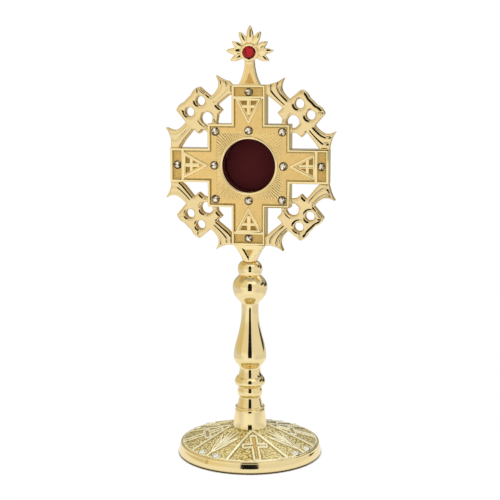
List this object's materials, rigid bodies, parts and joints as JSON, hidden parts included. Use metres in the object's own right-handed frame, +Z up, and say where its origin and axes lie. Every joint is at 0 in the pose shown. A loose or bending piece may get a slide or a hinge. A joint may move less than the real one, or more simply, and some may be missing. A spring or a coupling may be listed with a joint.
{
  "type": "reliquary monstrance",
  "caption": "Standing gilt cross reliquary with a pierced ornamental head, a round glazed relic chamber with a hinged rear door, a turned stem and a domed foot with cross and lily panels.",
  "frame": {"origin": "centre of the foot's bottom face, on the stem's axis", "axes": "+Z up along the stem, -Y towards the viewer of the head's front, +X to that viewer's right"},
  "size_m": [0.0876, 0.0744, 0.22],
  "materials": {
    "polished_gold": "polished gold plate over cast and turned brass",
    "satin_gold": "satin gold plate over brass",
    "steel": "zinc plated",
    "crystal": "clear cut foil-backed crystal",
    "red_stone": "red cut stone",
    "window_glass": "clear flat glass",
    "velvet": "dark red velvet"
  },
  "bodies": {
    "stand": {"foot": "polished_gold", "foot_stones": "crystal", "rod_nut": "steel", "rod_washer": "steel", "tie_rod": "steel", "foot_collar": "polished_gold", "stem_spool": "polished_gold", "stem_knop": "polished_gold", "stem_baluster": "polished_gold", "head_knob": "polished_gold", "head_frame": "polished_gold", "crystals": "crystal", "finial_stone": "red_stone", "window_bezel": "polished_gold", "window_glass": "window_glass", "relic_capsule": "satin_gold", "velvet_sleeve": "velvet", "back_plate": "satin_gold", "plate_screws": "satin_gold", "hinge_pin": "satin_gold"},
    "door": {"rear_door": "polished_gold", "velvet_pad": "velvet"}
  },
  "joints": [
    {"name": "rear_door_hinge", "type": "hinge", "parent": "stand", "child": "door", "pos_m": [-0.01865, 0.0072, 0.1503], "axis": [0, 0, 1], "range_deg": [0, 110]}
  ]
}
